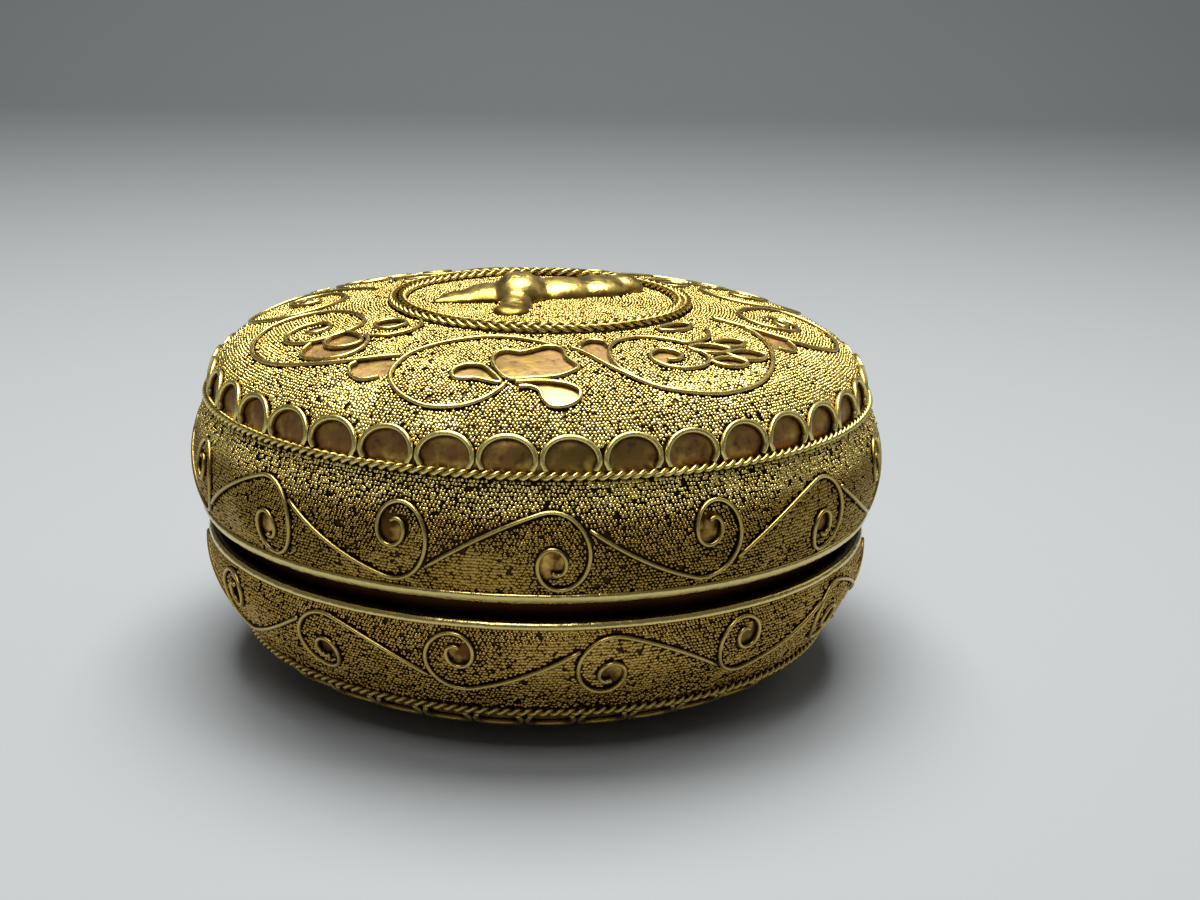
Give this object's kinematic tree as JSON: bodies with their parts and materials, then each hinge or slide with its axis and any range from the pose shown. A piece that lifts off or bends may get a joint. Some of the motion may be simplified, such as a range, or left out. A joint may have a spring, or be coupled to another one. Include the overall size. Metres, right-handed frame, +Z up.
{
  "type": "incense box",
  "caption": "Round domed incense box with a lift-off lid, covered in granulation, twisted ropes, a shoulder arcade and running wire tendrils, with a relief on the lid.",
  "frame": {"origin": "middle of the flat resting face under the base, on the surface it stands on", "axes": "+Z up through the middle of the lid, -Y towards the front seen in the picture, +X to its right"},
  "size_m": [0.0951, 0.0952, 0.0534],
  "materials": {
    "granulated_gold": "gilt sheet covered in fine soldered granules, dark in the gaps",
    "wire_gold": "gilt soldered wire, worn bright on its crests",
    "rim_gold": "smooth hammered gilt rim, rubbed bright",
    "relief_gold": "smooth cast gilt relief with softened edges",
    "inner_brass": "plain inner sheet, dull and darkened"
  },
  "bodies": {
    "base": {"base_shell": "granulated_gold", "base_rim_wire": "rim_gold", "base_shoulder_rope": "wire_gold", "base_arcade": "wire_gold", "base_wall_tendril_01": "wire_gold", "base_wall_tendril_02": "wire_gold", "base_wall_tendril_03": "wire_gold", "base_wall_tendril_04": "wire_gold", "base_wall_tendril_05": "wire_gold", "base_wall_tendril_06": "wire_gold", "base_wall_tendril_07": "wire_gold", "base_wall_tendril_08": "wire_gold", "base_wall_tendril_09": "wire_gold", "base_wall_tendril_10": "wire_gold", "base_wall_tendril_11": "wire_gold", "base_wall_tendril_12": "wire_gold", "base_wall_tendril_13": "wire_gold", "base_wall_tendril_14": "wire_gold", "base_wall_tendril_15": "wire_gold", "base_wall_tendril_16": "wire_gold", "base_collar": "inner_brass"},
    "lid": {"lid_shell": "granulated_gold", "lid_rim_wire": "rim_gold", "lid_shoulder_rope": "wire_gold", "lid_arcade": "wire_gold", "lid_wall_tendril_01": "wire_gold", "lid_wall_tendril_02": "wire_gold", "lid_wall_tendril_03": "wire_gold", "lid_wall_tendril_04": "wire_gold", "lid_wall_tendril_05": "wire_gold", "lid_wall_tendril_06": "wire_gold", "lid_wall_tendril_07": "wire_gold", "lid_wall_tendril_08": "wire_gold", "lid_wall_tendril_09": "wire_gold", "lid_wall_tendril_10": "wire_gold", "lid_wall_tendril_11": "wire_gold", "lid_wall_tendril_12": "wire_gold", "lid_wall_tendril_13": "wire_gold", "lid_wall_tendril_14": "wire_gold", "lid_wall_tendril_15": "wire_gold", "lid_wall_tendril_16": "wire_gold", "lid_medallion_outer_rope": "wire_gold", "lid_medallion_inner_rope": "wire_gold", "lid_medallion_relief": "relief_gold", "lid_top_tendril_1": "wire_gold", "lid_top_tendril_2": "wire_gold", "lid_top_tendril_3": "wire_gold", "lid_top_tendril_4": "wire_gold", "lid_top_tendril_5": "wire_gold", "lid_top_tendril_6": "wire_gold", "lid_top_tendril_7": "wire_gold", "lid_top_tendril_8": "wire_gold", "lid_branch_wire_1": "wire_gold", "lid_comma_bud_1": "wire_gold", "lid_leaf_bud_1": "wire_gold", "lid_palmette_1": "wire_gold", "lid_branch_wire_2": "wire_gold", "lid_comma_bud_2": "wire_gold", "lid_leaf_bud_2": "wire_gold", "lid_palmette_2": "wire_gold"}
  },
  "joints": [
    {"name": "lid_lift", "type": "slide", "parent": "base", "child": "lid", "axis": [0, 0, 1], "range_m": [0, 0.05]}
  ]
}
